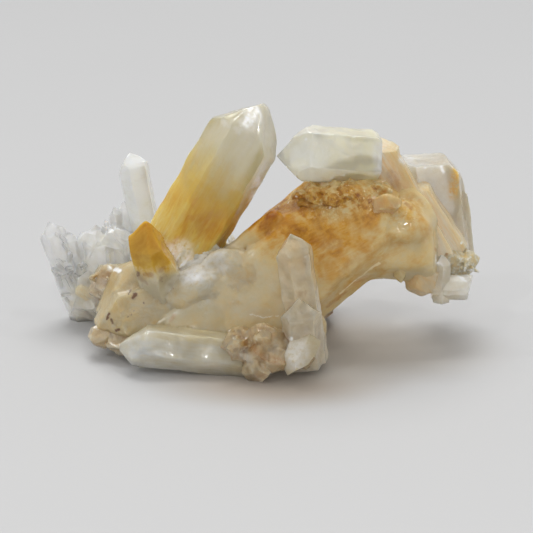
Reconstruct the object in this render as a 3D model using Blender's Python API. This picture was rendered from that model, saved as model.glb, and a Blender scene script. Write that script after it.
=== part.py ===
"""Mango quartz: one cluster of quartz points grown together, for Blender 4.5.

The cluster stands as it rests on a table: +Z up, the picture side towards -Y, and its origin
under the middle of its box. Places and sizes are written in millimetres, and each crystal of
the union is brought to metres as it is stored.
"""

import math
import random

import bmesh
import bpy
from mathutils import Matrix, Vector

MM = 0.001

# The whole cluster, as it stands
TO_ORIGIN = Vector((0.48, -0.59, 0.0))  # moves the middle of its box onto the origin
COLOUR = (0.80, 0.62, 0.34, 1.0)
ROUGHNESS = 0.25

# Quartz's own geometry: a six-sided prism, closed by faces that lean this far from its axis
TIP_LEAN = math.radians(38.2)
SIDES = 6
BLOCK = 400.0  # a crystal is cut from a block this wide

# The picture is taken from this far above level, so "into the picture" leans down as well
LOOK_DOWN = math.radians(20.0)
INTO_PICTURE = Vector((0.0, math.cos(LOOK_DOWN), -math.sin(LOOK_DOWN)))

# The table's plane takes off what would stand below it, down to this depth
FLOOR_DEPTH = 40.0


def clear_scene():
    for obj in list(bpy.data.objects):
        bpy.data.objects.remove(obj)


def slice_off(bm, point, normal):
    """Cuts away what lies beyond a plane and closes the cut with one flat face."""
    everything = bm.verts[:] + bm.edges[:] + bm.faces[:]
    cut = bmesh.ops.bisect_plane(
        bm, geom=everything, dist=1e-4, plane_co=point, plane_no=normal, clear_outer=True
    )
    rim = [part for part in cut["geom_cut"] if isinstance(part, bmesh.types.BMEdge)]
    if rim:
        bmesh.ops.contextual_create(bm, geom=rim)


def block():
    bm = bmesh.new()
    bmesh.ops.create_cube(bm, size=BLOCK)
    return bm


def stored(name, bm):
    """Makes an operand of the union from a bmesh: a closed body that isn't itself a node."""
    bmesh.ops.recalc_face_normals(bm, faces=bm.faces)
    mesh = bpy.data.meshes.new(name)
    bm.to_mesh(mesh)
    bm.free()
    mesh.transform(Matrix.Scale(MM, 4) @ Matrix.Translation(TO_ORIGIN))
    obj = bpy.data.objects.new(name, mesh)
    obj.hide_render = True
    obj.display_type = "WIRE"
    return obj


def crystal_frame(root, tip):
    """Unit vectors across, into the picture, and along a crystal."""
    along = (Vector(tip) - Vector(root)).normalized()
    back = INTO_PICTURE
    if abs(along.dot(back)) > 0.9:
        back = Vector((0.0, 0.0, 1.0))
    across = along.cross(back).normalized()
    return across, across.cross(along).normalized(), along


def side_reaches(width, deep, angles):
    """How far each side of a prism stands off its axis, for this width from edge to edge."""
    reaches = [math.hypot(math.cos(a), deep * math.sin(a)) for a in angles]
    corners = []
    for n in range(SIDES):
        a, b = angles[n - 1], angles[n]
        turned = reaches[n - 1] * math.sin(b) - reaches[n] * math.sin(a)
        corners.append(abs(turned / math.sin(b - a)))
    return [r * width / 2 / max(corners) for r in reaches]


def crystal(name, root, tip, width, deep=0.9, roll=30, lifts=(0, 1, 0, 1, 0, 1), breaks=()):
    """A quartz point: a prism from root towards tip, closed by one sloping face over each side.

    width is what the picture shows from edge to edge, and deep the thickness as a share of it.
    roll turns the sides about the axis, in degrees. A sloping face passes through the tip, or
    is raised off it by lifts tenths of the width and so comes out smaller. Each of the breaks,
    a point and a direction, cuts off what lies beyond it.
    """
    across, into, along = crystal_frame(root, tip)
    angles = [math.radians(roll) + side * math.tau / SIDES for side in range(SIDES)]
    bm = block()
    for angle, reach, lift in zip(angles, side_reaches(width, deep, angles), lifts):
        outward = math.cos(angle) * across + math.sin(angle) * into
        sloping = math.cos(TIP_LEAN) * outward + math.sin(TIP_LEAN) * along
        slice_off(bm, Vector(root) + reach * outward, outward)
        slice_off(bm, Vector(tip) + lift * width / 10 * sloping, sloping)
    slice_off(bm, Vector(root), -along)
    for point, direction in breaks:
        slice_off(bm, Vector(point), Vector(direction).normalized())
    return stored(name, bm)


def broken(name, middle, size, seed, faces=14):
    """A lump of broken quartz: a block cut by flat breaks about an egg of the given size."""
    chance = random.Random(seed)
    bm = block()
    turn = math.pi * (3 - math.sqrt(5))
    for n in range(faces):
        height = 1 - 2 * (n + 0.5) / faces
        angle = n * turn + chance.uniform(-0.4, 0.4)
        ring = math.sqrt(1 - height * height)
        outward = Vector((ring * math.cos(angle), ring * math.sin(angle), height))
        outward += Vector([chance.uniform(-0.25, 0.25) for _ in range(3)])
        outward.normalize()
        reach = Vector([s / 2 * o for s, o in zip(size, outward)]).length
        slice_off(bm, Vector(middle) + reach * chance.uniform(0.82, 1.1) * outward, outward)
    return stored(name, bm)


def lumps(name, middles, size, seed, faces):
    """Small broken lumps, one at each of the middles, each with its own size and breaks."""
    chance = random.Random(seed)
    made = []
    for n, middle in enumerate(middles):
        grown = [s * chance.uniform(0.6, 1.5) for s in size]
        made.append(broken(f"{name}_{n}", middle, grown, seed + n, faces))
    return made


def druse(name, middle, spread, towards, count, length, seed, fan=0.7):
    """A patch of small points fanned out about one direction, each with its own size."""
    chance = random.Random(seed)
    made = []
    for n in range(count):
        place = Vector(middle) + Vector([chance.uniform(-s, s) for s in spread])
        way = Vector(towards).normalized() + fan * Vector([chance.uniform(-1, 1) for _ in range(3)])
        way.normalize()
        long = length * chance.uniform(0.6, 1.25)
        wide = long * chance.uniform(0.28, 0.42)
        lifts = [chance.uniform(0, 1.5) for _ in range(SIDES)]
        made.append(
            crystal(
                f"{name}_{n}", place - 0.4 * long * way, place + long * way, wide, 0.9,
                chance.uniform(0, 60), lifts,
            )
        )
    return made


def large_points():
    """The large points that give the cluster its outline."""
    mango_top = ((0.3, 4, 51.6), (-0.27, 0.2, 0.92))
    level_end = ((23, 1.5, 46.6), (1, 0, 1.6))
    amber_top = ((19, -3, 37), (-0.05, -0.35, 1))
    amber_end = ((28.2, 2.1, 34.4), (0.77, 0.17, 0.62))
    cross_end = ((37.4, -3, 21), (1, -0.2, 0.1))
    arm_top = ((27, 1.4, 43.2), (0.05, -0.3, 1))
    shoulder_top = ((35, 4, 33.7), (0.15, -0.2, 1))
    far_top = ((36, 11, 37.6), (-0.03, 0, 1))
    far_edge = ((30.4, 10, 37), (-1, 0, 1.1))
    far_corner = ((41.4, 10, 36.6), (1, 0, 0.9))
    cream_end = ((-31.7, -6, 13.3), (-0.85, -0.25, 0.5))
    cream_foot = ((-34.8, -8, 6), (-0.9, -0.3, -0.25))
    return [
        crystal(
            "mango_point", root=(-20.5, -1, 15.5), tip=(1, 4, 52.3), width=16.6, deep=0.8, roll=18,
            lifts=(1.2, 1.5, 1, 0, 0.5, 0.8), breaks=[mango_top],
        ),
        crystal(
            "orange_point", root=(-19.3, -5, 8), tip=(-23.5, -10, 30.2), width=9.3, deep=0.9,
            roll=6, lifts=(0, 0, 0, 1, 0, 0),
        ),
        crystal(
            "left_point", root=(-24, 12, 14), tip=(-28.7, 15, 38), width=6.5, deep=0.9, roll=12,
        ),
        crystal(
            "low_point", root=(0, -18, 3), tip=(-28.7, -17, 6.2), width=9.0, deep=0.85, roll=20,
            lifts=(1.6, 0.5, 0, 0, 0, 1.6),
        ),
        crystal(
            "front_point", root=(10.5, -16.5, 2), tip=(6.1, -19, 30.6), width=7.6, deep=0.9,
            roll=14,
        ),
        crystal("front_spur", root=(9.5, -17, 2), tip=(7.8, -22, 18), width=8.4, deep=0.8, roll=33),
        crystal("front_foot", root=(10, -20.5, 9.5), tip=(5.6, -24.2, 2), width=5.6, deep=0.8, roll=0),
        crystal(
            "level_point", root=(24.6, 1.3, 40.6), tip=(4.3, -2, 42.9), width=12, deep=0.8,
            roll=27, lifts=(1, 1, 0, 1, 0, 1.5), breaks=[level_end],
        ),
        crystal(
            "amber_prism", root=(-22.2, -9, -5.9), tip=(32, 3, 37.5), width=26, deep=0.7, roll=30,
            lifts=(1, 1, 0, 0, 0, 1), breaks=[amber_top, amber_end],
        ),
        crystal(
            "cross_prism", root=(10, -1.5, 22.3), tip=(47.5, -1.5, 21), width=15, deep=0.9,
            roll=30, lifts=(0, 0, 0, 0, 0, 0), breaks=[cross_end],
        ),
        crystal(
            "arm_prism", root=(39.6, 1.4, 15), tip=(19.2, 1.4, 50.5), width=9, deep=0.7, roll=20,
            breaks=[arm_top],
        ),
        crystal(
            "arm_cap", root=(27.6, 1.4, 36), tip=(26.6, 1.4, 50), width=4.4, deep=0.9, roll=20,
            breaks=[arm_top],
        ),
        crystal(
            "arm_shoulder", root=(42.4, 4, 18.4), tip=(28.7, 4, 39.1), width=7, deep=0.9, roll=20,
            breaks=[shoulder_top],
        ),
        crystal(
            "far_right_point", root=(40, 9, 14), tip=(34.9, 11.2, 46), width=14.4, deep=0.7,
            roll=20, breaks=[far_top, far_corner, far_edge],
        ),
        crystal(
            "cream_prism", root=(4, 0, 17.5), tip=(-37.4, -8, 5.4), width=15, deep=0.9, roll=30,
            lifts=(0, 0, 0, 0, 0, 0), breaks=[cream_foot, cream_end],
        ),
        crystal(
            "cream_back", root=(-8, -1, 19), tip=(-36, -4, 8), width=15, deep=0.9, roll=20,
            lifts=(0, 0, 0, 0, 0, 0), breaks=[cream_end],
        ),
    ]


def small_points():
    """Smaller points, blades, ledges and steps beside the large ones."""
    amber_steps = [
        (8.6, -5.5, 35.4),
        (10.9, -6.1, 33.5),
        (13, -4.7, 34.8),
        (15.6, -6, 33.9),
        (17.8, -5.1, 35.3),
        (20.2, -5.4, 34.1),
        (22.4, -4.8, 35.2),
        (24, -5.3, 33.2),
    ]
    return [
        crystal(
            "amber_blade", root=(-9, -6, 16), tip=(-0.8, -4.5, 29.6), width=3.4, deep=0.6, roll=20,
        ),
        crystal(
            "base_spur", root=(-12, -6, 15), tip=(-10.4, -5, 22.8), width=2.6, deep=0.8, roll=10,
        ),
        crystal(
            "base_spur_b", root=(-15, -6, 15), tip=(-12.8, -5.5, 22), width=2.2, deep=0.8, roll=10,
        ),
        broken("pale_flake", middle=(26.2, -5, 33.4), size=(6.2, 3.2, 4.8), seed=21, faces=18),
        broken("amber_end", middle=(31, -0.5, 27), size=(13, 10, 15), seed=23, faces=30),
        broken("amber_ledge_a", middle=(12.5, -3, 33.8), size=(9, 5, 3), seed=24, faces=16),
        broken("amber_ledge_b", middle=(19, -3.6, 34.6), size=(7, 4, 3), seed=25, faces=16),
        broken("amber_ledge_c", middle=(24.6, -3, 35.2), size=(6, 4, 3), seed=26, faces=16),
        *lumps("amber_steps", middles=amber_steps, size=(4, 3, 2.6), seed=51, faces=16),
        broken("cream_heel", middle=(-18, -12, 5.5), size=(12, 8, 7), seed=22, faces=18),
        broken("cream_toe", middle=(-33.4, -9.4, 4.4), size=(6.4, 6, 4.6), seed=28, faces=18),
        broken("cream_toe_b", middle=(-29.2, -11.2, 3.4), size=(7, 5, 4.4), seed=29, faces=18),
    ]


def left_group():
    """Clear points that stand up at the left end, behind the rest."""
    return [
        crystal("left_a", root=(-40, 12, -1), tip=(-46.8, 11, 23.2), width=5.6, deep=0.9, roll=20),
        crystal("left_b", root=(-38.5, 11, 3), tip=(-42.6, 11, 20.6), width=3.4, deep=0.9, roll=10),
        crystal("left_c", root=(-36, 11, 5), tip=(-36.6, 13, 22), width=9, deep=0.9, roll=30),
        crystal("left_d", root=(-31, 10, 8), tip=(-31.2, 12, 22.2), width=5.6, deep=0.9, roll=20),
        crystal("left_e", root=(-31, 13, 12), tip=(-32.6, 15, 25), width=2.6, deep=0.9, roll=0),
        crystal("left_f", root=(-28, 13, 12), tip=(-30.6, 16, 26), width=3.2, deep=0.9, roll=20),
        crystal("left_g", root=(-33, 6, 6), tip=(-41.3, 6, 9.5), width=3.2, deep=0.9, roll=20),
        broken("left_foot", middle=(-35.5, 11, 6), size=(13, 12, 13), seed=5),
        broken("left_stain", middle=(-32.5, 4, 11), size=(10, 9, 10), seed=8),
        broken("left_dome_a", middle=(-37, 11.5, 17), size=(7, 6, 9), seed=34, faces=22),
        broken("left_dome_b", middle=(-31.8, 11.6, 18), size=(7.4, 6.4, 8), seed=35, faces=22),
        *druse(
            "stain_druse", middle=(-33, 1.5, 12), spread=(3.5, 1, 4), towards=(-0.3, -1, 0.3),
            count=12, length=2.6, seed=42, fan=0.9,
        ),
        *druse(
            "left_druse", middle=(-40.5, 9, 9), spread=(2.5, 1, 6), towards=(-0.4, -1, 0.4),
            count=12, length=2.6, seed=43, fan=0.9,
        ),
        *druse(
            "left_tips", middle=(-33, 13, 18), spread=(5, 1.5, 2), towards=(-0.1, 0, 1), count=9,
            length=4, seed=44, fan=0.35,
        ),
        *druse(
            "left_growth", middle=(-43.4, 9.6, 14), spread=(1.4, 0.8, 6),
            towards=(-0.2, -0.5, 1), count=14, length=3.2, seed=46, fan=0.5,
        ),
    ]


def right_group():
    """Broken and clear quartz at the right end."""
    low_end = ((44.6, -4, 13), (1, -0.2, -0.15))
    return [
        broken("right_break", middle=(41.6, 2.5, 16.5), size=(10, 9, 7), seed=3, faces=24),
        broken("right_under", middle=(34.8, -2.5, 15), size=(9, 8, 9), seed=33, faces=20),
        crystal(
            "right_low", root=(36.6, -3.5, 13.4), tip=(50, -4, 13.2), width=5.6, deep=0.9,
            roll=20, breaks=[low_end],
        ),
        crystal(
            "right_up", root=(38.6, -4, 10.4), tip=(38.2, -4.6, 21), width=3.6, deep=0.9, roll=0,
        ),
        crystal("right_thin", root=(46.5, 9, 14), tip=(43.8, 9, 31), width=2.2, deep=0.9, roll=0),
        crystal(
            "hanging_point", root=(29.2, -6, 23), tip=(29.6, -8, 15.4), width=2.8, deep=0.9,
            roll=0,
        ),
        *druse(
            "right_druse", middle=(43, -1, 16.5), spread=(3.5, 1, 2), towards=(0.3, -1, 0),
            count=10, length=2.4, seed=45, fan=0.9,
        ),
    ]


def front_druse():
    """Broken, stained lumps that the cluster stands on in front."""
    return [
        broken("druse_a", middle=(0.6, -19, 6.4), size=(10, 9, 10), seed=1, faces=22),
        broken("druse_b", middle=(-4, -18, 6), size=(8, 8, 8), seed=2, faces=20),
        broken("druse_c", middle=(5, -18, 5), size=(10, 10, 9), seed=4, faces=22),
        broken("druse_d", middle=(10.4, -13, 5.4), size=(7.4, 9.4, 10), seed=6, faces=22),
        broken("druse_e", middle=(11, -15, 8.5), size=(5, 7, 8), seed=7, faces=16),
        broken("druse_f", middle=(8.3, -20, 5.2), size=(6, 5, 6.6), seed=9, faces=18),
        broken("druse_g", middle=(-0.8, -21.6, 2.8), size=(7, 6, 6), seed=14, faces=18),
        broken("druse_h", middle=(3.4, -22.4, 4.6), size=(4.6, 4, 5), seed=15, faces=16),
        broken("druse_i", middle=(-4.6, -21, 7.2), size=(4.4, 4, 4), seed=16, faces=16),
        broken("druse_j", middle=(0.6, -22, 9), size=(4, 3.6, 4), seed=17, faces=16),
        *druse(
            "front_druse", middle=(3, -21, 6), spread=(6, 1.5, 2.5), towards=(0, -1, -0.1),
            count=12, length=3, seed=41, fan=0.9,
        ),
    ]


def hidden_side():
    """The mass behind and below, which carries the rest and has points of its own."""
    return [
        broken("middle_mass", middle=(-10, 2, 9), size=(46, 24, 19), seed=11, faces=20),
        broken("back_mass", middle=(2, 9, 10), size=(30, 18, 20), seed=12, faces=18),
        broken("back_foot", middle=(10, 11, 4), size=(13, 11, 11), seed=13),
        broken("right_heel", middle=(41, 8, 15), size=(12, 9, 6), seed=14),
        crystal("back_a", root=(-8, 6, 10), tip=(-14, 24, 24), width=7, deep=0.9, roll=10),
        crystal("back_b", root=(4, 6, 12), tip=(10, 21, 22), width=6, deep=0.9, roll=25),
        crystal("back_c", root=(14, 4, 22), tip=(24, 16, 27), width=6.5, deep=0.9, roll=40),
        crystal("back_d", root=(-24, 10, 8), tip=(-30, 24, 11), width=5.5, deep=0.9, roll=15),
        crystal("back_e", root=(2, 12, 8), tip=(3, 27, 5.5), width=6, deep=0.9, roll=30),
        crystal("back_f", root=(-14, 12, 8), tip=(-19, 26, 9), width=5, deep=0.9, roll=5),
        crystal("back_g", root=(8, 12, 8), tip=(17, 22, 11), width=4.5, deep=0.9, roll=20),
        *druse(
            "back_druse", middle=(-8, 14, 13), spread=(14, 3, 4), towards=(0, 1, 0.7), count=16,
            length=5, seed=31,
        ),
    ]


def floor_block():
    """What the table's plane takes off: its top is the plane that the cluster rests on."""
    bm = block()
    slice_off(bm, Vector((0, 0, 0)), Vector((0, 0, 1)))
    slice_off(bm, Vector((0, 0, -FLOOR_DEPTH)), Vector((0, 0, -1)))
    return stored("floor_block", bm)


def boolean(whole, name, operation):
    """Adds an exact Boolean to the cluster."""
    added = whole.modifiers.new(name, "BOOLEAN")
    added.operation = operation
    added.solver = "EXACT"
    return added


def joined(name, parts):
    """One closed solid from overlapping ones, with a flat place wherever it meets the table."""
    group = bpy.data.collections.new(name + "_parts")
    for part in parts:
        group.objects.link(part)
    bpy.context.scene.collection.children.link(group)
    whole = bpy.data.objects.new(name, bpy.data.meshes.new(name))
    bpy.context.scene.collection.objects.link(whole)
    union = boolean(whole, "grown together", "UNION")
    union.operand_type = "COLLECTION"
    union.collection = group
    rest = boolean(whole, "rest", "DIFFERENCE")
    rest.object = floor_block()
    bpy.context.scene.collection.objects.link(rest.object)
    return whole


def quartz(name):
    material = bpy.data.materials.new(name)
    material.use_nodes = True
    shader = material.node_tree.nodes["Principled BSDF"]
    shader.inputs["Base Color"].default_value = COLOUR
    shader.inputs["Roughness"].default_value = ROUGHNESS
    shader.inputs["Metallic"].default_value = 0.0
    return material


def main():
    clear_scene()
    parts = large_points() + small_points() + left_group() + right_group()
    parts += front_druse() + hidden_side()
    cluster = joined("quartz_cluster", parts)
    cluster.data.materials.append(quartz("mango_quartz"))


main()
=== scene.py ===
"""Looks of the mango quartz cluster: quartz points and broken lumps grown together in one shell.

Places and sizes are in millimetres, as the cluster stands before the middle of its box goes to
the origin; TO_ORIGIN takes them there, and the finished mesh is in metres.
"""

import math
import random
from itertools import combinations

import bmesh
import bpy
import numpy as np
from mathutils import Matrix, Vector
from mathutils.bvhtree import BVHTree


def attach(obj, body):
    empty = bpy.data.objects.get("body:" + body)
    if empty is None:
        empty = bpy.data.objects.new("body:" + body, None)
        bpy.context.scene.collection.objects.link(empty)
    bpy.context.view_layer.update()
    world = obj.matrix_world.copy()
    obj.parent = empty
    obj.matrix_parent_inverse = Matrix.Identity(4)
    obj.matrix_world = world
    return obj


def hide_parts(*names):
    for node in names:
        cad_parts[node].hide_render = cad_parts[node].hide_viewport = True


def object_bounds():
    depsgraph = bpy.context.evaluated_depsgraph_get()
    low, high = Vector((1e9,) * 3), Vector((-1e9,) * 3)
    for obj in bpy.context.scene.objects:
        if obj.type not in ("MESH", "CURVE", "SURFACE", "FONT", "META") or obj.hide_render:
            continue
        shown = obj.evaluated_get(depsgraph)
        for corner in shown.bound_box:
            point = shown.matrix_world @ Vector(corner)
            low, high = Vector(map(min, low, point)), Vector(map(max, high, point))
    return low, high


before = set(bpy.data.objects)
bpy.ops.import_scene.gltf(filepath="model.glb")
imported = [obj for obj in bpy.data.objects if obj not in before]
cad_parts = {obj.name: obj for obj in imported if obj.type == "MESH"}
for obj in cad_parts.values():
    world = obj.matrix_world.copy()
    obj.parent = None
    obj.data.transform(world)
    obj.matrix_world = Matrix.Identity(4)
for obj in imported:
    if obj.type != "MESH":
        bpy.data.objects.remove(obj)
CAD_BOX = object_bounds()

MM = 0.001
TO_ORIGIN = np.array([0.48, -0.59, 0.0])
TIP_LEAN = math.radians(38.2)  # quartz's own: how far a sloping face leans from the axis
LOOK_DOWN = math.radians(20.0)
INTO_PICTURE = np.array([0.0, math.cos(LOOK_DOWN), -math.sin(LOOK_DOWN)])
SIDES = 6
NODE = "quartz_cluster"
LONG_EDGE = 1.5  # millimetres: only longer edges are bevelled
EVEN = (0,) * SIDES  # lifts of a tip whose six faces meet in one point
GOLDEN_TURN = math.pi * (3 - math.sqrt(5))  # from one break of a lump to the next
# Growth steps as shares of a crystal's width: how far apart, how high, and how high they swell
SIDE_STEPS, TIP_STEPS = (0.16, 0.016, 0.020), (0.10, 0.010, 0.014)
TONE_REACH, TORN_REACH = 4.0, 4.5  # millimetres that a tone and the torn band reach
CREASE = math.radians(28)  # edges sharper than this stay crisp
QUARTZ_IOR = 1.544


def put(made):
    """Puts a new object in the scene."""
    bpy.context.scene.collection.objects.link(made)
    return made


def numbers(items, key, across=1, kind=np.int32):
    """What all items of a mesh have under key, as rows of across numbers."""
    out = np.empty(len(items) * across, kind)
    items.foreach_get(key, out)
    return out.reshape(-1, across) if across > 1 else out


def unit(v):
    """The vectors v, each divided by its length."""
    v = np.asarray(v, float)
    return v / np.linalg.norm(v, axis=-1, keepdims=True)


def smooth(x):
    """0 up to 0, 1 from 1 on, and 3x^2 - 2x^3 between."""
    x = np.clip(x, 0, 1)
    return x * x * (3 - 2 * x)


def waves(points, pitch, seed, count=6):
    """A soft random height from -1 to 1: the mean of sines that run in random directions, each
    about pitch millimetres long."""
    chance = np.random.default_rng(seed)
    ways = unit(chance.normal(size=(count, 3))) * math.tau / pitch
    ways *= chance.uniform(0.6, 1.5, (count, 1))
    return np.sin(points @ ways.T + chance.uniform(0, math.tau, count)).mean(-1) * 1.6


def terraces(x):
    """Flat treads with soft risers: the whole part of x, plus a smooth step over its last third."""
    whole = np.floor(x)
    return whole + smooth((x - whole - 0.65) / 0.35)


class Solid:
    """A solid kept as the planes it lies behind: their outward normals, and how far each plane
    stands from the middle of space."""

    def __init__(self):
        self.normals, self.reaches = [], []

    def behind(self, point, normal):
        """Cuts off all that lies past the plane through a point."""
        normal = unit(normal)
        self.normals.append(normal)
        self.reaches.append(float(normal @ np.asarray(point, float)))

    def corners(self):
        """Where three planes meet, kept if it lies behind all the others."""
        n, d = np.array(self.normals), np.array(self.reaches)
        trio = np.array(list(combinations(range(len(d)), 3)))
        square = n[trio]
        good = np.abs(np.linalg.det(square)) > 1e-4
        square, trio = square[good], trio[good]
        met = np.linalg.solve(square, d[trio][..., None])[..., 0]
        met = met[(met @ n.T <= d + 1e-6).all(1)]
        return np.unique(met.round(5), axis=0)

    def faces(self):
        """For each plane that shows: its normal and its corners, counted round it."""
        corners, shown = self.corners(), []
        for n, d in zip(self.normals, self.reaches):
            ring = corners[np.abs(corners @ n - d) < 5e-5]
            if len(ring) < 3:
                continue
            middle = ring.mean(0)
            side = unit(np.cross(n, [0.3, 0.5, 0.8]))
            turn = np.arctan2((ring - middle) @ np.cross(n, side), (ring - middle) @ side)
            shown.append((n, ring[np.argsort(turn)]))
        return shown

    def bevelled(self, depth):
        """Cuts every edge that is long enough by a narrow plane, depth below the edge."""
        faces = self.faces()
        for (n, ring), (m, other) in combinations(faces, 2):
            shared = [p for p in ring if (np.abs(other - p) < 2e-4).all(1).any()]
            if len(shared) == 2 and np.linalg.norm(shared[0] - shared[1]) > LONG_EDGE:
                way = unit(n + m)
                self.behind(shared[0] - depth * way, way)


def rim_distance(points, ring, normal):
    """How far points on a flat face lie from the nearest of its edges."""
    ahead = np.roll(ring, -1, 0)
    inward = unit(np.cross(normal, ahead - ring) + 1e-12)
    return ((points[..., None, :] - ring) * inward).sum(-1).min(-1)


def chord_grid(normal, ring, axis, levels, across):
    """A face as rows of chords: at height t along the axis a chord runs from the face's left rim
    to its right rim, and w goes along it from 0 to 1."""
    height = (ring @ axis).round(3)
    rows = levels[(levels >= height.min() - 1e-9) & (levels <= height.max() + 1e-9)]
    ahead, height_ahead = np.roll(ring, -1, 0), np.roll(height, -1)
    rises = np.abs(height_ahead - height) > 1e-9
    start, end = ring[rises], ahead[rises]
    low, high = height[rises], height_ahead[rises]
    part = (rows[:, None] - low) / (high - low)
    meets = (part > -1e-9) & (part < 1 + 1e-9)
    points = start + np.clip(part, 0, 1)[..., None] * (end - start)
    sideways = points @ np.cross(axis, normal)
    left = np.where(meets, sideways, np.inf).argmin(1)
    right = np.where(meets, sideways, -np.inf).argmax(1)
    row = np.arange(len(rows))
    w = np.linspace(0, 1, across + 1)[None, :, None]
    return points[row, left][:, None] * (1 - w) + points[row, right][:, None] * w


def fan_grid(ring, pitch, rings):
    """A face as rings: s goes from its middle to its rim and u round the rim, and a point is
    middle + s * (rim(u) - middle)."""
    ahead = np.roll(ring, -1, 0)
    lengths = np.linalg.norm(ahead - ring, axis=1).round(3)
    counts = np.maximum(1, np.rint(lengths / pitch)).astype(int)
    rim = [a + (b - a) * np.arange(c)[:, None] / c for a, b, c in zip(ring, ahead, counts)]
    rim = np.concatenate([*rim, ring[:1]])
    s = np.linspace(0, 1, rings + 1)[:, None, None]
    middle = ring.mean(0)
    return middle + s * (rim - middle), s[..., 0]


class Pieces:
    """Collects sheets of quads and turns them into one closed operand."""

    def __init__(self):
        self.points, self.tips, self.rims, self.faces, self.count = [], [], [], [], 0

    def add(self, points, to_tip, rim):
        """A grid of points, with how near each is to the tip (0 to 1) and its distance from the
        rim of its face in millimetres."""
        rows, columns = points.shape[:2]
        at = np.arange(rows * columns).reshape(rows, columns) + self.count
        quads = np.stack([at[:-1, :-1], at[:-1, 1:], at[1:, 1:], at[1:, :-1]], -1).reshape(-1, 4)
        self.faces += quads.tolist()
        self.keep(points.reshape(-1, 3), to_tip, rim)

    def cap(self, points, to_tip):
        """A flat face whose corners are points."""
        self.faces.append(list(range(self.count, self.count + len(points))))
        self.keep(points, to_tip, 0.0)

    def keep(self, points, to_tip, rim):
        """Notes points and what the mesh keeps at them; one value stands for all of them."""
        self.points.append(points)
        self.tips.append(np.broadcast_to(np.ravel(to_tip), len(points)))
        self.rims.append(np.broadcast_to(np.ravel(rim), len(points)))
        self.count += len(points)

    def operand(self, name, finish):
        """The sheets as one closed mesh, with points that fall together made one."""
        places = (np.concatenate(self.points) + TO_ORIGIN) * MM
        mesh = bpy.data.meshes.new(name)
        mesh.from_pydata(places.tolist(), [], self.faces)
        at = numbers(mesh.loops, "vertex_index")
        for key, values in (("to_tip", self.tips), ("rim", self.rims)):
            kept = mesh.attributes.new(key, "FLOAT", "CORNER")
            kept.data.foreach_set("value", np.concatenate(values)[at].astype(np.float32))
        bm = bmesh.new()
        bm.from_mesh(mesh)
        bmesh.ops.remove_doubles(bm, verts=bm.verts, dist=2e-7)
        bmesh.ops.dissolve_degenerate(bm, edges=bm.edges, dist=1e-8)
        bmesh.ops.recalc_face_normals(bm, faces=bm.faces)
        if not all(edge.is_manifold for edge in bm.edges):
            raise ValueError(f"{name} is open")
        bm.to_mesh(mesh)
        bm.free()
        mesh.materials.append(finish)
        return bpy.data.objects.new(name, mesh)


def crystal_frame(root, tip):
    """Unit vectors across, into the picture, and along a crystal."""
    along = unit(np.subtract(tip, root))
    back = np.array([0.0, 0.0, 1.0]) if abs(along @ INTO_PICTURE) > 0.9 else INTO_PICTURE
    across = unit(np.cross(along, back))
    return across, unit(np.cross(across, along)), along


def crystal(name, finish, root, tip, width, roll, deep=0.9, lifts=(0, 1, 0, 1, 0, 1),
            breaks=(), pitch=0.9, relief=1.0, bevel=0.0):
    """A quartz point: six side planes about the axis from root to tip, six sloping planes that
    lean TIP_LEAN from it and pass through the tip or lie lifts tenths of the width beyond it,
    and any breaks. deep is its depth as a share of its width. Its faces are chord grids, raised
    by growth steps: terraces(climb) - climb times their height, plus a swell of waves. On a side
    climb runs along the crystal, and on a sloping face in from the rim. Both fade at each rim."""
    across, into, along = crystal_frame(root, tip)
    root, tip = np.array(root, float), np.array(tip, float)
    angle = math.radians(roll) + np.arange(SIDES) * math.tau / SIDES
    reach = np.hypot(np.cos(angle), deep * np.sin(angle))
    before = np.roll(angle, 1)
    turned = np.roll(reach, 1) * np.sin(angle) - reach * np.sin(before)
    reach = reach * width / 2 / np.abs(turned / np.sin(angle - before)).max()
    outward = np.cos(angle)[:, None] * across + np.sin(angle)[:, None] * into
    solid = Solid()
    for out, far, lift in zip(outward, reach, lifts):
        slope = math.cos(TIP_LEAN) * out + math.sin(TIP_LEAN) * along
        solid.behind(root + far * out, out)
        solid.behind(tip + lift * width / 10 * slope, slope)
    for point, direction in breaks:
        solid.behind(point, direction)
    if bevel:
        solid.behind(root - 3 * along, -along)
        solid.bevelled(bevel)
    solid.behind(root, -along)

    faces = solid.faces()
    heights = np.unique(np.concatenate([(ring @ along).round(3) for _, ring in faces]))
    even = np.arange(heights[0], heights[-1], pitch).round(3)
    even = even[np.abs(even[:, None] - heights).min(1) > 0.3 * pitch]
    levels = np.sort(np.concatenate([heights, even]))
    columns = int(np.clip(round(width * 0.6 / pitch), 1, 9))
    made = Pieces()
    length = np.linalg.norm(tip - root)
    seed = sum(map(ord, name))
    for n, ring in faces:
        lean = n @ along
        if not relief:
            made.cap(ring, (ring - root) @ along / length)
            continue
        if lean < -1 + 1e-9:
            step = np.arange(columns)[:, None] / columns
            ahead = np.roll(ring, -1, 0)
            made.cap(np.concatenate([a + (b - a) * step for a, b in zip(ring, ahead)]), 0.0)
            continue
        points = chord_grid(n, ring, along, levels, columns)
        inside = rim_distance(points, ring, n)
        slow = waves(points, width * 0.9, seed)
        on_side = abs(lean) < 0.25
        apart, high, swell = SIDE_STEPS if on_side else TIP_STEPS
        climb = points @ along if on_side else inside
        climb = climb / (width * apart) + (1.6 if on_side else 1.0) * slow
        lift = high * width * (terraces(climb) - climb) + swell * width * slow
        fade = smooth(inside / min(0.9, width * 0.12))
        points = points + (relief * fade * np.clip(lift, -0.5, 0.25))[..., None] * n
        made.add(points, (points - root) @ along / length, inside)
    return made.operand(name, finish)


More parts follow.
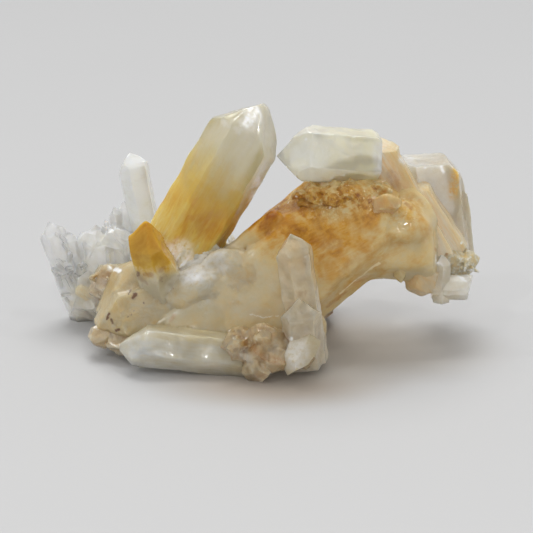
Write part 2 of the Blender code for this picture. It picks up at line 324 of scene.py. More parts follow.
def broken(name, finish, middle, size, seed, faces=14, pitch=0.8, relief=1.0):
    """A lump of broken quartz: a solid behind flat breaks about an egg. Each break is a fan grid
    hollowed like a shell, -depth * (1 - s^2), with ripples about one of its corners."""
    chance = random.Random(seed)
    solid = Solid()
    for n in range(faces):
        height = 1 - 2 * (n + 0.5) / faces
        angle = n * GOLDEN_TURN + chance.uniform(-0.4, 0.4)
        ring = math.sqrt(1 - height * height)
        outward = np.array([ring * math.cos(angle), ring * math.sin(angle), height])
        outward = unit(outward + np.array([chance.uniform(-0.25, 0.25) for _ in range(3)]))
        reach = np.linalg.norm(np.array(size) / 2 * outward)
        solid.behind(np.array(middle) + reach * chance.uniform(0.82, 1.1) * outward, outward)
    made = Pieces()
    for number, (n, ring) in enumerate(solid.faces()):
        wide = np.linalg.norm(ring - ring.mean(0), axis=1).mean()
        rings = int(np.clip(round(wide / pitch), 1, 12))
        points, s = fan_grid(ring, pitch, rings)
        far = np.linalg.norm(points - ring[number % len(ring)], axis=-1)
        ripple = np.sin(far / (0.11 * wide + 0.25) + 2 * waves(points, wide, seed + number))
        hollow = -0.10 * wide * (1 - s * s) + 0.018 * wide * ripple * smooth((1 - s) * 4)
        rough = 0.05 * wide * waves(points, 0.8 * wide, seed + 7) * smooth((1 - s) * 3)
        points = points + (relief * (hollow + rough))[..., None] * n
        made.add(points, 0.35, np.broadcast_to((1 - s) * wide, points.shape[:2]))
    return made.operand(name, finish)


def lumps(name, finish, middles, size, seed, faces):
    """Small broken lumps, one at each of the middles, each with its own size and breaks."""
    chance = random.Random(seed)
    made = []
    for n, middle in enumerate(middles):
        grown = [s * chance.uniform(0.6, 1.5) for s in size]
        made.append(broken(f"{name}_{n}", finish, middle, grown, seed + n, faces, 0.6))
    return made


def druse(name, finish, middle, spread, towards, count, length, seed, fan=0.7):
    """A patch of small points fanned out about one direction, each with its own size."""
    chance = random.Random(seed)
    grown = []
    for n in range(count):
        place = np.array(middle) + [chance.uniform(-s, s) for s in spread]
        way = unit(unit(towards) + fan * np.array([chance.uniform(-1, 1) for _ in range(3)]))
        long = length * chance.uniform(0.6, 1.25)
        wide = long * chance.uniform(0.28, 0.42)
        lifts = [chance.uniform(0, 1.5) for _ in range(SIDES)]
        root, tip = place - 0.4 * long * way, place + long * way
        grown.append(crystal(f"{name}_{n}", finish, root, tip, wide, chance.uniform(0, 60),
                             lifts=lifts, relief=0))
    return grown


def grown_together(name, operands):
    """One closed shell from overlapping solids, cut off level where it meets the table."""
    group = bpy.data.collections.new(name + "_operands")
    for part in operands[1:]:
        group.objects.link(part)
    whole = operands[0]
    whole.name = name
    put(whole)
    bpy.context.scene.collection.children.link(group)
    union = whole.modifiers.new("grown together", "BOOLEAN")
    union.operation = "UNION"
    union.solver = "MANIFOLD"
    union.operand_type = "COLLECTION"
    union.collection = group
    union.material_mode = "TRANSFER"
    bm = bmesh.new()
    bmesh.ops.create_cube(bm, size=0.4, matrix=Matrix.Translation((0, 0, -0.2)))
    under = bpy.data.meshes.new("under_the_table")
    bm.to_mesh(under)
    bm.free()
    table = bpy.data.objects.new("under_the_table", under)
    put(table)
    rest = whole.modifiers.new("rest", "BOOLEAN")
    rest.operation = "DIFFERENCE"
    rest.solver = "MANIFOLD"
    rest.object = table
    graph = bpy.context.evaluated_depsgraph_get()
    mesh = bpy.data.meshes.new_from_object(whole.evaluated_get(graph))
    shell = bpy.data.objects.new(name, mesh)
    put(shell)
    for left in [whole, table, *operands[1:]]:
        bpy.data.objects.remove(left)
    bpy.data.collections.remove(group)
    shell.name = name
    return shell


CLEAR, MANGO, ORANGE, MILKY, LEVEL, AMBER, CREAM, TAN, STAINED, ROUGH = (
    bpy.data.materials.new(kind + "_quartz") for kind in (
        "clear", "mango_point", "orange_cap", "milky", "level_point", "amber", "cream", "tan_arm",
        "stained_druse", "broken_amber"))
# How many rounds of wear each quartz's edges get
ROUNDS = {CREAM: 11, STAINED: 2, TAN: 3, AMBER: 16, MILKY: 1, MANGO: 3, LEVEL: 1, ORANGE: 2,
          ROUGH: 2}
# Millimetres that each quartz is uneven by, at a small scale
CRUMBLE = {ROUGH: 0.28, STAINED: 0.12, CREAM: 0.05}

# Breaks that the large points end in: a point on each and its outward direction
AMBER_TOP = [((19, -3, 37), (-0.05, -0.35, 1)), ((28.2, 2.1, 34.4), (0.77, 0.17, 0.62))]
ARM_TOP = ((27, 1.4, 43.2), (0.05, -0.3, 1))
FAR_TOP = [((36, 11, 37.6), (-0.03, 0, 1)), ((41.4, 10, 36.6), (1, 0, 0.9)),
           ((30.4, 10, 37), (-1, 0, 1.1))]
CREAM_END = ((-31.7, -6, 13.3), (-0.85, -0.25, 0.5))
AMBER_STEPS = [(8.6, -5.0, 34.6), (10.9, -5.5, 32.7), (13, -4.2, 34.0), (15.6, -5.4, 33.1),
               (17.8, -4.5, 34.5), (20.2, -4.8, 33.3), (22.4, -4.2, 34.4), (24, -4.7, 32.4)]


def large_points():
    """The large points that give the cluster its outline."""
    return [
        crystal("mango_point", MANGO, (-20.5, -1, 15.5), (1, 4, 52.3), 16.6, 18, 0.8,
                (1.2, 1.5, 1, 0, 0.5, 0.8),
                [((0.3, 4, 51.6), (-0.27, 0.2, 0.92)), ((0.1, 4, 51.7), (0.68, 0, 0.73))]),
        crystal("orange_point", ORANGE, (-19.3, -5, 8), (-23.5, -10, 30.2), 9.3, 6, 0.9,
                (1.7, 0, 0, 0, 0, 0), [((-21.6, -9, 27.4), (0.88, 0, 0.47))], bevel=0.08),
        crystal("left_point", MILKY, (-24, 12, 14), (-28.7, 15, 38), 6.5, 12, bevel=0.06),
        crystal("low_point", MILKY, (0, -18, 3), (-28.7, -17, 6.2), 9.0, 20, 0.85,
                (1.6, 0.5, 0, 0, 0, 1.6), bevel=0.08),
        crystal("front_point", CLEAR, (10.5, -16.5, 2), (6.1, -19, 30.6), 7.6, 14, bevel=0.07),
        crystal("front_spur", CLEAR, (9.5, -17, 2), (7.8, -22, 18), 8.4, 33, 0.8, bevel=0.07),
        crystal("front_foot", MILKY, (10, -20.5, 9.5), (5.6, -24.2, 2), 5.6, 0, 0.8, bevel=0.05),
        crystal("level_point", LEVEL, (24.6, 1.3, 40.6), (4.3, -2, 42.9), 12, 27, 0.8,
                (1, 1, 0, 1, 0, 1.5), [((23, 1.5, 46.6), (1, 0, 1.6))], bevel=0.06),
        crystal("amber_prism", AMBER, (-22.2, -9, -5.9), (32, 3, 37.5), 26, 30, 0.7,
                (1, 1, 0, 0, 0, 1), AMBER_TOP, pitch=1.1, bevel=0.4),
        crystal("cross_prism", AMBER, (10, -1.5, 22.3), (47.5, -1.5, 21), 15, 30, 0.9, EVEN,
                [((37.4, -3, 21), (1, -0.2, 0.1))], pitch=1.1, bevel=0.5),
        crystal("arm_prism", TAN, (39.6, 1.4, 15), (19.2, 1.4, 50.5), 9, 20, 0.7,
                breaks=[ARM_TOP], bevel=0.07),
        crystal("arm_cap", TAN, (27.6, 1.4, 36), (26.6, 1.4, 50), 4.4, 20, breaks=[ARM_TOP],
                bevel=0.05),
        crystal("arm_shoulder", TAN, (42.4, 4, 18.4), (28.7, 4, 39.1), 7, 20,
                breaks=[((35, 4, 33.7), (0.15, -0.2, 1))], bevel=0.06),
        crystal("far_right_point", CLEAR, (40, 9, 14), (34.9, 11.2, 46), 14.4, 20, 0.7,
                breaks=FAR_TOP, bevel=0.07),
        crystal("cream_prism", CREAM, (4, 0, 17.5), (-37.4, -8, 5.4), 15, 30, 0.9, EVEN,
                [((-34.8, -8, 6), (-0.9, -0.3, -0.25)), CREAM_END], pitch=1.1, bevel=0.2),
        crystal("cream_back", CREAM, (-8, -1, 19), (-36, -4, 8), 15, 20, 0.9, EVEN, [CREAM_END],
                pitch=1.1),
    ]


def small_points():
    """Smaller points, blades and ledges beside the large ones."""
    return [
        crystal("amber_blade", AMBER, (-12, -5, 15.8), (5, -5, 31.4), 4.6, 0, 0.8),
        crystal("base_spur", MILKY, (-12, -6, 15), (-10.4, -5, 22.8), 2.6, 10, 0.8),
        crystal("base_spur_b", MILKY, (-15, -6, 15), (-12.8, -5.5, 22), 2.2, 10, 0.8),
        broken("pale_flake", TAN, (26.2, -6.7, 33.2), (6.2, 3.2, 4.8), 21, 18),
        broken("amber_end", AMBER, (31, 0.3, 27), (13, 9, 15), 23, 30, relief=0.4),
        broken("amber_shoulder", AMBER, (29.6, -3.0, 26.8), (14, 9.6, 14), 63, 26, relief=0.2),
        broken("amber_ledge_a", ROUGH, (12.5, -3, 33.8), (9, 5, 3), 24, 16, 0.6),
        broken("amber_ledge_b", ROUGH, (19, -3.6, 34.6), (7, 4, 3), 25, 16, 0.6),
        broken("amber_ledge_c", ROUGH, (24.6, -3, 35.2), (6, 4, 3), 26, 16, 0.6),
        *lumps("amber_steps", ROUGH, AMBER_STEPS, (5, 3, 2.4), 51, 16),
        broken("cream_heel", CREAM, (-18, -12, 5.5), (12, 8, 7), 22, 18),
        broken("cream_shoulder", CREAM, (-12.8, -8.0, 13.4), (19, 8, 13), 61, 26, relief=0.2),
        broken("cream_shoulder_b", CREAM, (-5.2, -7.2, 17.8), (15, 7.4, 11), 62, 26, relief=0.2),
        broken("cream_toe", STAINED, (-33.4, -9.4, 4.4), (6.4, 6, 4.6), 28, 18, 0.6),
        broken("cream_toe_b", STAINED, (-29.2, -11.2, 3.4), (7, 5, 4.4), 29, 18, 0.6),
    ]


def left_group():
    """Clear points that stand up at the left end, behind the rest."""
    return [
        crystal("left_a", CLEAR, (-40, 12, -1), (-46.8, 11, 23.2), 5.6, 20, pitch=0.7),
        crystal("left_b", CLEAR, (-38.5, 11, 3), (-42.6, 11, 20.6), 3.4, 10, pitch=0.7),
        crystal("left_c", CLEAR, (-36, 11, 5), (-36.6, 13, 22), 9, 30, pitch=0.7),
        crystal("left_d", CLEAR, (-31, 10, 8), (-31.2, 12, 22.2), 5.6, 20, pitch=0.7),
        crystal("left_e", CLEAR, (-31, 13, 12), (-32.6, 15, 25), 2.6, 0, pitch=0.7),
        crystal("left_f", CLEAR, (-28, 13, 12), (-30.6, 16, 26), 3.2, 20, pitch=0.7),
        crystal("left_g", TAN, (-33, 6, 6), (-41.3, 6, 9.5), 3.2, 20, pitch=0.7),
        broken("left_foot", CLEAR, (-35.5, 11, 6), (13, 12, 13), 5),
        broken("left_stain", STAINED, (-32.5, 4, 11), (10, 9, 10), 8),
        *druse("stain_druse", STAINED, (-33, 1.5, 12), (3.5, 1, 4), (-0.3, -1, 0.3), 12, 2.6,
               42, 0.9),
        *druse("left_druse", CLEAR, (-40.5, 9, 9), (2.5, 1, 6), (-0.4, -1, 0.4), 12, 2.6, 43, 0.9),
        *druse("left_tips", CLEAR, (-33, 13, 18), (5, 1.5, 2), (-0.1, 0, 1), 9, 4, 44, 0.35),
        *druse("left_growth", CLEAR, (-43.4, 9.6, 14), (1.4, 0.8, 6), (-0.2, -0.5, 1), 14, 3.2,
               46, 0.5),
        broken("left_dome_a", CLEAR, (-37, 11.5, 17), (7, 6, 9), 34, 22, 0.6),
        broken("left_dome_b", CLEAR, (-31.8, 11.6, 18), (7.4, 6.4, 8), 35, 22, 0.6),
    ]


def right_group():
    """Broken and clear quartz at the right end."""
    return [
        broken("right_break", ROUGH, (41.6, 2.5, 16.5), (10, 9, 7), 3, 24),
        broken("right_under", TAN, (34.8, -2.5, 15), (9, 8, 9), 33, 20),
        crystal("right_low", CLEAR, (36.6, -3.5, 13.4), (50, -4, 13.2), 5.6, 34,
                breaks=[((44.6, -4, 13), (1, -0.2, -0.15))], pitch=0.7, bevel=0.3),
        crystal("right_up", CLEAR, (38.6, -4, 10.4), (38.2, -4.6, 21), 3.6, 0, pitch=0.7),
        crystal("right_thin", CLEAR, (46.5, 9, 14), (43.8, 9, 31), 2.2, 0),
        crystal("hanging_point", MILKY, (29.2, -3.4, 21), (29.6, -7.4, 15.6), 3.2, 0, bevel=0.2),
        *druse("right_druse", ROUGH, (43, -1, 16.5), (3.5, 1, 2), (0.3, -1, 0), 10, 2.4, 45, 0.9),
    ]


def front_druse():
    """Broken, stained lumps that the cluster stands on in front."""
    return [
        broken("druse_a", STAINED, (0.6, -19, 6.4), (10, 9, 10), 1, 22),
        broken("druse_b", STAINED, (-4, -18, 6), (8, 8, 8), 2, 20),
        broken("druse_c", STAINED, (5, -18, 5), (10, 10, 9), 4, 22),
        broken("druse_d", STAINED, (10.4, -13, 5.4), (7.4, 9.4, 10), 6, 22),
        broken("druse_e", CREAM, (11, -15, 8.5), (5, 7, 8), 7, 16),
        broken("druse_f", STAINED, (8.3, -20, 5.2), (6, 5, 6.6), 9, 18),
        broken("druse_g", STAINED, (-0.8, -21.6, 2.8), (7, 6, 6), 14, 18, 0.6),
        broken("druse_h", STAINED, (3.4, -22.4, 4.6), (4.6, 4, 5), 15, 16, 0.6),
        broken("druse_i", STAINED, (-4.6, -21, 7.2), (4.4, 4, 4), 16, 16, 0.6),
        broken("druse_j", STAINED, (0.6, -22, 9), (4, 3.6, 4), 17, 16, 0.6),
        *druse("front_druse", STAINED, (3, -21, 6), (6, 1.5, 2.5), (0, -1, -0.1), 12, 3, 41, 0.9),
    ]


def hidden_side():
    """The mass behind and below, which carries the rest and has points of its own."""
    return [
        broken("middle_mass", CREAM, (-10, 2, 9), (46, 24, 19), 11, 20, pitch=1.2),
        broken("back_mass", CREAM, (2, 9, 10), (30, 18, 20), 12, 18, pitch=1.2),
        broken("back_foot", STAINED, (10, 11, 4), (13, 11, 11), 13, pitch=1.0),
        broken("right_heel", STAINED, (41, 8, 15), (12, 9, 6), 14),
        crystal("back_a", MILKY, (-8, 6, 10), (-14, 24, 24), 7, 10, bevel=0.06),
        crystal("back_b", CLEAR, (4, 6, 12), (10, 21, 22), 6, 25, bevel=0.06),
        crystal("back_c", AMBER, (14, 4, 22), (24, 16, 27), 6.5, 40, bevel=0.06),
        crystal("back_d", MILKY, (-24, 10, 8), (-30, 24, 11), 5.5, 15, bevel=0.05),
        crystal("back_e", CLEAR, (2, 12, 8), (3, 27, 5.5), 6, 30, bevel=0.06),
        crystal("back_f", MILKY, (-14, 12, 8), (-19, 26, 9), 5, 5, bevel=0.05),
        crystal("back_g", CLEAR, (8, 12, 8), (17, 22, 11), 4.5, 20, bevel=0.05),
        *druse("back_druse", MILKY, (-8, 14, 13), (14, 3, 4), (0, 1, 0.7), 16, 5, 31),
    ]


def seen(red, green, blue, lighter=1.45):
    """A colour as it reads on the stone (0 to 255), made lighter by what its shading takes."""
    linear = [((c / 255 + 0.055) / 1.055) ** 2.4 * lighter for c in (red, green, blue)]
    return (*[min(c, 0.97) for c in linear], 1.0)


class Amount:
    """A number that changes over the surface: it wraps a socket, and sums on it add Math nodes."""

    def __init__(self, finish, socket):
        self.finish, self.socket = finish, socket

    def sum(self, operation, *values, clamp=False):
        settings = {"operation": operation, "use_clamp": clamp}
        made = self.finish.node("ShaderNodeMath", settings, dict(enumerate(values)))
        return Amount(self.finish, made.outputs[0])

    def __add__(self, other):
        return self.sum("ADD", self, other)

    def __sub__(self, other):
        return self.sum("SUBTRACT", self, other)

    def __rsub__(self, other):
        return self.sum("SUBTRACT", other, self)

    def __mul__(self, other):
        return self.sum("MULTIPLY", self, other)

    def __truediv__(self, other):
        return self.sum("DIVIDE", self, other)

    __radd__ = __add__
    __rmul__ = __mul__

    def least(self, other):
        return self.sum("MINIMUM", self, other)

    def most(self, other):
        return self.sum("MAXIMUM", self, other)

    def between(self, low, high):
        """0 at low, 1 at high and smooth between, whichever of the two is the larger."""
        settings = {"interpolation_type": "SMOOTHSTEP"}
        if low > high:
            return 1 - self.between(high, low)
        made = self.finish.node("ShaderNodeMapRange", settings, {0: self, 1: low, 2: high})
        return Amount(self.finish, made.outputs[0])


class Finish:
    """One material, and the nodes that make it. Its place is the stone's own, in millimetres."""

    def __init__(self, material, marks=()):
        self.marks = marks
        material.use_nodes = True
        self.tree = material.node_tree
        self.tree.nodes.clear()
        at = self.node("ShaderNodeTexCoord").outputs["Object"]
        self.place = self.vector("MULTIPLY_ADD", at, (1 / MM,) * 3, tuple(-TO_ORIGIN))

    def node(self, kind, settings=None, values=None):
        """Adds a node of a kind, sets its settings, then its sockets' values or links."""
        made = self.tree.nodes.new(kind)
        for key, value in (settings or {}).items():
            if key == "stops":
                while len(made.color_ramp.elements) < len(value):
                    made.color_ramp.elements.new(0.5)
                for stop, (position, colour) in zip(made.color_ramp.elements, value):
                    stop.position, stop.color = position, colour
            else:
                setattr(made, key, value)
        for key, value in (values or {}).items():
            value = value.socket if isinstance(value, Amount) else value
            if isinstance(value, bpy.types.NodeSocket):
                self.tree.links.new(value, made.inputs[key])
            else:
                made.inputs[key].default_value = value
        return made

    def vector(self, operation, *values):
        made = self.node("ShaderNodeVectorMath", {"operation": operation}, dict(enumerate(values)))
        return made.outputs["Vector"]

    def measure(self, operation, *values):
        """One number from vectors, such as their dot product, distance or length."""
        made = self.node("ShaderNodeVectorMath", {"operation": operation}, dict(enumerate(values)))
        return Amount(self, made.outputs["Value"])

    def kept(self, name):
        """A number that the mesh keeps at its corners."""
        made = self.node("ShaderNodeAttribute", {"attribute_name": name})
        return Amount(self, made.outputs["Fac"])

    def axes(self, root, tip):
        """Places across, into and along a crystal, from its root."""
        start = self.vector("SUBTRACT", self.place, tuple(root))
        ways = crystal_frame(root, tip)
        return [self.measure("DOT_PRODUCT", start, tuple(way)) for way in ways]

    def joined(self, x, y, z):
        return self.node("ShaderNodeCombineXYZ", None, {0: x, 1: y, 2: z}).outputs[0]

    def noise(self, vector, scale, detail=3.0, roughness=0.55, distortion=0.0):
        """Cloudy noise from 0 to 1, with scale repeats to a millimetre."""
        values = {"Vector": vector, "Scale": scale, "Detail": detail, "Roughness": roughness,
                  "Distortion": distortion}
        return Amount(self, self.node("ShaderNodeTexNoise", None, values).outputs["Fac"])

    def streaks(self, root, tip, wide, long, detail=4.0, distortion=0.4):
        """Noise drawn out along a crystal: wide millimetres across and long along it, and spread
        so that it runs from -0.5 to 0.5."""
        across, into, along = self.axes(root, tip)
        drawn = self.joined(across / wide, into / wide, along / long)
        return self.noise(drawn, 1.0, detail, 0.6, distortion).between(0.30, 0.70) - 0.5

    def clouds(self, scale, detail=5.0, roughness=0.62, distortion=0.8):
        """Noise over the whole stone, spread so that it runs from -0.5 to 0.5."""
        cloudy = self.noise(self.place, scale, detail, roughness, distortion)
        return cloudy.between(0.30, 0.70) - 0.5

    def mix(self, part, first, second):
        """A colour from first, where part is 0, to second, where it is 1."""
        values = {0: part, 6: first, 7: second}
        settings = {"data_type": "RGBA", "clamp_factor": True}
        return self.node("ShaderNodeMix", settings, values).outputs[2]

    def ramp(self, amount, stops):
        return self.node("ShaderNodeValToRGB", {"stops": stops}, {0: amount}).outputs["Color"]

    def stroke(self, path, wide):
        """1 on a line through places on the stone, falling to 0 at wide millimetres from it."""
        mask = None
        for start, end in zip(path, path[1:]):
            length = float(np.linalg.norm(end - start))
            way = (end - start) / length
            from_start = self.vector("SUBTRACT", self.wandering, tuple(start))
            along = self.measure("DOT_PRODUCT", from_start, tuple(way)).most(0.0).least(length)
            values = {0: tuple(way), "Scale": along}
            foot = self.node("ShaderNodeVectorMath", {"operation": "SCALE"}, values)
            far = self.measure("DISTANCE", from_start, foot.outputs["Vector"])
            part = far.between(wide * 1.3, wide * 0.4)
            mask = part if mask is None else mask.most(part)
        return mask

    def marked(self, colour, marks):
        """Lays marks over a colour, each a spot or a stroke whose rim wanders with a little noise
        and whose inside is broken up by it. A fine mark stays sharp; a wide one is soft."""
        covered = None
        values = {"Vector": self.place, "Scale": 0.9, "Detail": 4.0}
        stir = self.node("ShaderNodeTexNoise", None, values)
        away = self.vector("SUBTRACT", stir.outputs["Color"], (0.5, 0.5, 0.5))
        self.wandering = self.vector("MULTIPLY_ADD", away, (1.1,) * 3, self.place)
        ragged = self.noise(self.place, 1.1, 5.0, 0.65).between(0.26, 0.60)
        for tint, wide, strength, path in marks:
            mask = self.stroke(path if len(path) > 1 else [path[0], path[0] + 0.05], wide)
            if wide > 0.6:
                mask = mask * ragged
            mask = mask * strength
            # The marks laid here include painted glints and highlights, as well as stains, veils
            # and fibres
            colour = self.mix(mask, colour, tint)
            covered = mask if covered is None else covered.most(mask)
        return colour, covered

    def quartz(self, colour, haze, bumps, rough, height=0.06, soft=1.0):
        """Quartz as a mix by haze: clear glass where it is 0, and milky stone where it is 1. soft
        is the share of the milky light that wanders under the surface, and height is that of
        the bumps in millimetres."""
        values = {"Strength": 1.0, "Distance": height * MM, "Height": bumps}
        normal = {"Normal": self.node("ShaderNodeBump", None, values).outputs[0]}
        if self.marks:
            colour, covered = self.marked(colour, self.marks)
            haze = covered.most(haze)
        glass = self.node("ShaderNodeBsdfPrincipled", None, {
            "Base Color": seen(235, 235, 228), "Roughness": 0.3, "IOR": QUARTZ_IOR,
            "Transmission Weight": 1.0,
            "Coat Weight": 0.8, "Coat Roughness": 0.04, **normal})
        milk = self.node("ShaderNodeBsdfPrincipled", {"subsurface_method": "RANDOM_WALK"}, {
            "Base Color": colour, "Roughness": rough, "IOR": QUARTZ_IOR,
            "Specular IOR Level": 0.3, "Subsurface Weight": soft,
            "Subsurface Radius": (1.0, 0.94, 0.82), "Subsurface Scale": 5.0 * MM, **normal})
        mixed = self.node("ShaderNodeMixShader", None, {
            0: haze, 1: glass.outputs[0], 2: milk.outputs[0]})
        self.node("ShaderNodeOutputMaterial", None, {"Surface": mixed.outputs[0]})


def stops(*rows):
    """A ramp's stops from rows of a position and its red, green and blue as they read."""
    return [(position, seen(*colour)) for position, *colour in rows]


# What each quartz's tone runs through, from milk white to its deepest colour
TONES = stops((0, 206, 208, 206), (0.25, 172, 162, 134), (0.5, 178, 156, 106),
              (0.75, 168, 122, 34), (1, 122, 68, 2))
CLEAR_TONES = stops((0, 216, 216, 210), (0.25, 196, 188, 170), (0.5, 176, 160, 126),
                    (1, 164, 122, 56))
STAINED_TONES = stops((0, 206, 200, 184), (0.3, 180, 162, 128), (0.6, 158, 128, 82),
                      (1, 120, 80, 38))
TAN_TONES = stops((0, 206, 200, 186), (0.25, 198, 184, 152), (0.5, 194, 166, 112),
                  (1, 176, 124, 44))
MANGO_TONES = stops((0, 183, 178, 156), (0.35, 182, 167, 104), (0.7, 178, 150, 62),
                    (1, 164, 120, 26))
ORANGE_TONES = stops((0, 200, 194, 174), (0.3, 186, 172, 132), (0.65, 168, 136, 50),
                     (1, 142, 98, 10))
LEVEL_TONES = stops((0, 196, 195, 184), (0.35, 202, 196, 164), (0.7, 202, 190, 136))


def surface_detail(f):
    """Fine relief: faint growth lines across each crystal, and a soft unevenness."""
    lines = f.noise(f.joined(0.0, 0.0, f.kept("to_tip") * 26), 1.0, 2.0)
    return lines * 0.5 + f.noise(f.place, 1.3, 3.0) * 0.5


def clear_finish(f):
    """Hazier towards the root and in patches."""
    haze = 0.36 + 0.24 * (1 - f.kept("to_tip")).least(1.0) + 0.20 * f.clouds(0.35)
    tone = f.kept("tone") + 0.14 * f.clouds(0.5)
    bumps = surface_detail(f) + 1.6 * f.noise(f.place, 0.9, 2.0)
    haze = haze.least(0.9).most(0.1)
    f.quartz(f.ramp(tone, CLEAR_TONES), haze, rough=0.05, bumps=bumps, height=0.1)


def milky_finish(f):
    """Milk white, with lines along the low front point."""
    striae = f.streaks((0, -18, 3), (-28.7, -17, 6.2), 0.9, 9.0)
    tone = f.kept("tone") + 0.08 * f.clouds(0.3) + 0.06 * striae
    haze = 0.60 + 0.14 * f.clouds(0.22) + 0.16 * striae
    f.quartz(f.ramp(tone, TONES), haze.least(0.97), rough=0.08, bumps=surface_detail(f))


def level_finish(f):
    """Pale and hazy."""
    tone = f.kept("tone") * 0.8 + 0.10 * f.clouds(0.25)
    haze = 0.46 + 0.2 * f.clouds(0.25)
    f.quartz(f.ramp(tone, LEVEL_TONES), haze, rough=0.06, bumps=surface_detail(f))


def amber_finish(f):
    """Streaks and swirls that grow with the tone, and grains where it is torn."""
    drawn = f.streaks((-13, -7, 1.5), (32, -3, 27.5), 3.2, 9.0, 6.0, 2.2)
    veins = f.streaks((-13, -7, 1.5), (32, -3, 27.5), 0.9, 5.0, 5.0, 2.6)
    grain = f.clouds(0.9, 5.0, 0.7, 0.4)
    deep, torn = f.kept("tone"), f.kept("torn")
    swirl = 0.14 * drawn + 0.10 * veins + 0.36 * f.clouds(0.16)
    tone = deep + (0.02 + 1.2 * deep) * swirl + 0.40 * torn * grain
    tone = tone + 0.12 * f.clouds(0.3) + 0.5 * f.kept("hollow") * torn
    haze = 0.62 + 0.38 * deep + 0.05 * drawn + 0.16 * f.clouds(0.2)
    flecks = f.noise(f.place, 1.7, 3.0, 0.6).between(0.60, 0.68) * torn
    colour = f.mix(flecks * 0.6, f.ramp(tone, TONES), seen(214, 202, 172))
    bumps = surface_detail(f) + 1.6 * grain * torn
    f.quartz(colour, haze.least(0.98), rough=0.09, bumps=bumps, height=0.1, soft=0.4)


def rough_finish(f):
    """Broken amber quartz: grainy, with pale flecks and brown hollows."""
    grain = f.clouds(0.9, 5.0, 0.7, 0.4)
    flecks = f.noise(f.place, 1.7, 3.0, 0.6).between(0.60, 0.68)
    tone = f.kept("tone") + 0.45 * grain + 0.4 * f.kept("hollow")
    colour = f.mix(flecks * 0.6, f.ramp(tone, TONES), seen(214, 202, 172))
    bumps = surface_detail(f) + 1.6 * grain
    f.quartz(colour, 0.86, rough=0.08, bumps=bumps, height=0.16, soft=0.6)


def cream_finish(f):
    """Veils, and streaks along the prism."""
    drawn = f.streaks((4, 0, 17.5), (-36.8, -8, 5.6), 3.0, 8.0, 5.0, 1.4)
    veil = f.clouds(0.42, 5.0, 0.68, 1.2)
    tone = f.kept("tone") + 0.08 + 0.14 * drawn + 0.12 * veil
    haze = 0.62 + 0.26 * veil
    bumps = surface_detail(f) + 0.6 * drawn
    f.quartz(f.ramp(tone, TONES), haze.least(0.97), rough=0.09, bumps=bumps, height=0.12,
             soft=0.8)


def tan_finish(f):
    """Streaks and fine veins along the slanted arm."""
    drawn = f.streaks((44, 3, 15), (26.5, 3, 44), 1.4, 8.0, 5.0, 0.8)
    veins = f.streaks((44, 3, 15), (26.5, 3, 44), 0.5, 4.0, 4.0, 1.2)
    tone = f.kept("tone") + 0.06 + 0.18 * drawn + 0.14 * veins
    haze = 0.60 + 0.24 * drawn
    bumps = surface_detail(f) + 0.5 * veins
    f.quartz(f.ramp(tone, TAN_TONES), haze.least(0.95), rough=0.07, bumps=bumps, height=0.1,
             soft=0.7)


def stained_finish(f):
    """Clouds of stain, browner and hazier in hollows."""
    stain = f.clouds(0.45, 5.0, 0.65, 1.2)
    tone = f.kept("tone") + 0.08 + 0.36 * stain + 0.7 * f.kept("hollow")
    haze = 0.50 + 0.36 * f.clouds(0.7) + 0.4 * f.kept("hollow")
    bumps = surface_detail(f) + 0.6 * f.noise(f.place, 1.2, 3.0)
    f.quartz(f.ramp(tone, STAINED_TONES), haze.least(0.97), rough=0.05, bumps=bumps, height=0.1,
             soft=0.7)


def mango_finish(f):
    """White at the root, then a mango band whose edges wander by streaks and clouds, and
    clear at the tip."""
    root, tip = (-20.5, -1, 15.5), (1, 4, 52.3)
    across, _, along = f.axes(root, tip)
    drawn = f.streaks(root, tip, 2.4, 12.0, 5.0, 0.5)
    fine = f.streaks(root, tip, 0.8, 8.0, 4.0, 0.6)
    cloud = f.clouds(0.13, 5.0, 0.6, 1.0)
    edge = along + 5.0 * drawn + 3.0 * fine + 5.0 * cloud
    mango = edge.between(4.5, 9.0) * edge.between(30.0, 16.0)
    warm = edge.between(46.0, 22.0) * 0.40
    right = 0.10 * (across / -8.0).least(1.0).most(-1.0)
    deep = 0.45 - 0.26 * along.between(16.0, 8.0) + right
    tone = warm + mango * (deep + 0.30 * drawn + 0.24 * fine + 0.24 * cloud)
    white = along.between(8.5, 5.0)
    haze = 0.44 + 0.44 * mango + 0.20 * drawn + 0.4 * white
    colour = f.mix(white * fine.between(-0.5, 0.2), f.ramp(tone, MANGO_TONES), seen(246, 246, 238))
    lines = f.noise(f.joined(0.0, 0.0, along * 0.9), 1.0, 3.0)
    bumps = surface_detail(f) + 0.8 * lines + 0.3 * fine
    f.quartz(colour, haze.least(0.97), rough=0.08, bumps=bumps, height=0.08)


def orange_finish(f):
    """Milky below and an orange cap above, with a brown smudge under the cap's edge."""
    root, tip = (-19.3, -5, 8), (-23.5, -10, 30.2)
    *_, along = f.axes(root, tip)
    drawn = f.streaks(root, tip, 2.2, 5.0, 4.0, 0.5)
    edge = along + 1.6 * drawn + 1.2 * f.clouds(0.5)
    cap = edge.between(10.0, 14.5)
    tone = 0.20 + cap * (0.36 + 0.32 * edge.between(11.0, 20.0) + 0.20 * f.clouds(0.22))
    smudge = edge.between(10.0, 11.2) * edge.between(13.0, 11.6)
    smudge = smudge * f.noise(f.place, 0.5).between(0.5, 0.62)
    colour = f.mix(smudge * 0.6, f.ramp(tone, ORANGE_TONES), seen(120, 84, 44))
    haze = 0.42 + 0.54 * cap
    f.quartz(colour, haze, rough=0.08, bumps=surface_detail(f), soft=0.6)


LENS, SENSOR, PHOTO = 100.0, 36.0, 533
PIXEL = 0.215  # millimetres to a pixel of the photograph, at the target
DISTANCE = LENS / SENSOR * PHOTO * PIXEL
TARGET = np.array([1.3, 0.0, 16.7]) + TO_ORIGIN
BACK = -INTO_PICTURE
EYE = TARGET + BACK * DISTANCE


